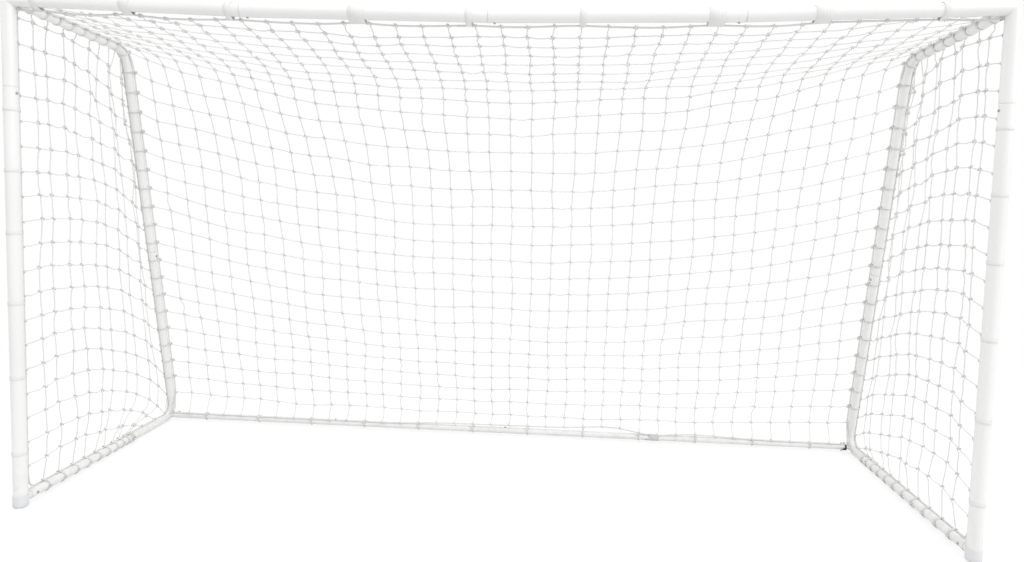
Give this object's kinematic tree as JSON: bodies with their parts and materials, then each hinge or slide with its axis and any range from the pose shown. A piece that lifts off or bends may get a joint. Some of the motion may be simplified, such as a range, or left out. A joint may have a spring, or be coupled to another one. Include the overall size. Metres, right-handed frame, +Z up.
{
  "type": "soccer goal",
  "caption": "Free-standing soccer goal of white steel tube with bent side frames, push-button tube joints and a knotted net.",
  "frame": {"origin": "on the ground, in the middle of the goal's width and of its depth", "axes": "+Z up, +X along the crossbar to the right of someone facing the mouth, +Y from the mouth to the back"},
  "size_m": [3.7658, 1.0771, 2.0367],
  "materials": {
    "white_paint": "satin",
    "foot_plastic": "matt",
    "button_steel": "plated",
    "spring_steel": "plain",
    "net_twine": "knotted twine"
  },
  "bodies": {
    "frame": {"corner_left": "white_paint", "corner_right": "white_paint", "crossbar_left": "white_paint", "crossbar_right": "white_paint", "foot_cap_left": "foot_plastic", "foot_cap_right": "foot_plastic", "net_back_lower": "net_twine", "net_back_upper": "net_twine", "net_left": "net_twine", "net_right": "net_twine", "net_roof": "net_twine", "post_left": "white_paint", "post_right": "white_paint", "rear_bar_inner_left": "white_paint", "rear_bar_inner_right": "white_paint", "rear_bar_outer_left": "white_paint", "rear_bar_outer_right": "white_paint", "side_lower_left": "white_paint", "side_lower_right": "white_paint", "side_upper_left": "white_paint", "side_upper_right": "white_paint", "spring_crossbar_left": "spring_steel", "spring_crossbar_middle": "spring_steel", "spring_crossbar_right": "spring_steel", "spring_foot_left": "spring_steel", "spring_foot_right": "spring_steel", "spring_leg_left": "spring_steel", "spring_leg_right": "spring_steel", "spring_post_left": "spring_steel", "spring_post_right": "spring_steel", "spring_rear_end_left": "spring_steel", "spring_rear_end_right": "spring_steel", "spring_rear_middle": "spring_steel", "spring_rear_quarter_left": "spring_steel", "spring_rear_quarter_right": "spring_steel", "spring_stay_left": "spring_steel", "spring_stay_right": "spring_steel"},
    "button_crossbar_left": {"button_crossbar_left": "button_steel"},
    "button_post_left": {"button_post_left": "button_steel"},
    "button_stay_left": {"button_stay_left": "button_steel"},
    "button_leg_left": {"button_leg_left": "button_steel"},
    "button_foot_left": {"button_foot_left": "button_steel"},
    "button_rear_end_left": {"button_rear_end_left": "button_steel"},
    "button_rear_quarter_left": {"button_rear_quarter_left": "button_steel"},
    "button_crossbar_right": {"button_crossbar_right": "button_steel"},
    "button_post_right": {"button_post_right": "button_steel"},
    "button_stay_right": {"button_stay_right": "button_steel"},
    "button_leg_right": {"button_leg_right": "button_steel"},
    "button_foot_right": {"button_foot_right": "button_steel"},
    "button_rear_end_right": {"button_rear_end_right": "button_steel"},
    "button_rear_quarter_right": {"button_rear_quarter_right": "button_steel"},
    "button_crossbar_middle": {"button_crossbar_middle": "button_steel"},
    "button_rear_middle": {"button_rear_middle": "button_steel"}
  },
  "joints": [
    {"name": "press_crossbar_left", "type": "slide", "parent": "frame", "child": "button_crossbar_left", "axis": [-0.0357, 0, -0.9994], "range_m": [-0.006, 0], "stiffness_N_per_m": 1500, "springref_m": 0.003, "deforming": ["spring_crossbar_left"]},
    {"name": "press_post_left", "type": "slide", "parent": "frame", "child": "button_post_left", "axis": [1, 0, 0], "range_m": [-0.006, 0], "stiffness_N_per_m": 1500, "springref_m": 0.003, "deforming": ["spring_post_left"]},
    {"name": "press_stay_left", "type": "slide", "parent": "frame", "child": "button_stay_left", "axis": [0, -0.0768, -0.997], "range_m": [-0.006, 0], "stiffness_N_per_m": 1500, "springref_m": 0.003, "deforming": ["spring_stay_left"]},
    {"name": "press_leg_left", "type": "slide", "parent": "frame", "child": "button_leg_left", "axis": [1, 0, 0], "range_m": [-0.006, 0], "stiffness_N_per_m": 1500, "springref_m": 0.003, "deforming": ["spring_leg_left"]},
    {"name": "press_foot_left", "type": "slide", "parent": "frame", "child": "button_foot_left", "axis": [1, 0, 0], "range_m": [-0.006, 0], "stiffness_N_per_m": 1500, "springref_m": 0.003, "deforming": ["spring_foot_left"]},
    {"name": "press_rear_end_left", "type": "slide", "parent": "frame", "child": "button_rear_end_left", "axis": [0, 0, 1], "range_m": [-0.006, 0], "stiffness_N_per_m": 1500, "springref_m": 0.003, "deforming": ["spring_rear_end_left"]},
    {"name": "press_rear_quarter_left", "type": "slide", "parent": "frame", "child": "button_rear_quarter_left", "axis": [0, 0, 1], "range_m": [-0.006, 0], "stiffness_N_per_m": 1500, "springref_m": 0.003, "deforming": ["spring_rear_quarter_left"]},
    {"name": "press_crossbar_right", "type": "slide", "parent": "frame", "child": "button_crossbar_right", "axis": [0.0357, 0, -0.9994], "range_m": [-0.006, 0], "stiffness_N_per_m": 1500, "springref_m": 0.003, "deforming": ["spring_crossbar_right"]},
    {"name": "press_post_right", "type": "slide", "parent": "frame", "child": "button_post_right", "axis": [-1, 0, 0], "range_m": [-0.006, 0], "stiffness_N_per_m": 1500, "springref_m": 0.003, "deforming": ["spring_post_right"]},
    {"name": "press_stay_right", "type": "slide", "parent": "frame", "child": "button_stay_right", "axis": [0, -0.0768, -0.997], "range_m": [-0.006, 0], "stiffness_N_per_m": 1500, "springref_m": 0.003, "deforming": ["spring_stay_right"]},
    {"name": "press_leg_right", "type": "slide", "parent": "frame", "child": "button_leg_right", "axis": [-1, 0, 0], "range_m": [-0.006, 0], "stiffness_N_per_m": 1500, "springref_m": 0.003, "deforming": ["spring_leg_right"]},
    {"name": "press_foot_right", "type": "slide", "parent": "frame", "child": "button_foot_right", "axis": [-1, 0, 0], "range_m": [-0.006, 0], "stiffness_N_per_m": 1500, "springref_m": 0.003, "deforming": ["spring_foot_right"]},
    {"name": "press_rear_end_right", "type": "slide", "parent": "frame", "child": "button_rear_end_right", "axis": [0, 0, 1], "range_m": [-0.006, 0], "stiffness_N_per_m": 1500, "springref_m": 0.003, "deforming": ["spring_rear_end_right"]},
    {"name": "press_rear_quarter_right", "type": "slide", "parent": "frame", "child": "button_rear_quarter_right", "axis": [0, 0, 1], "range_m": [-0.006, 0], "stiffness_N_per_m": 1500, "springref_m": 0.003, "deforming": ["spring_rear_quarter_right"]},
    {"name": "press_crossbar_middle", "type": "slide", "parent": "frame", "child": "button_crossbar_middle", "axis": [-0.012, 0, -0.9999], "range_m": [-0.006, 0], "stiffness_N_per_m": 1500, "springref_m": 0.003, "deforming": ["spring_crossbar_middle"]},
    {"name": "press_rear_middle", "type": "slide", "parent": "frame", "child": "button_rear_middle", "axis": [0, 0, 1], "range_m": [-0.006, 0], "stiffness_N_per_m": 1500, "springref_m": 0.003, "deforming": ["spring_rear_middle"]}
  ]
}
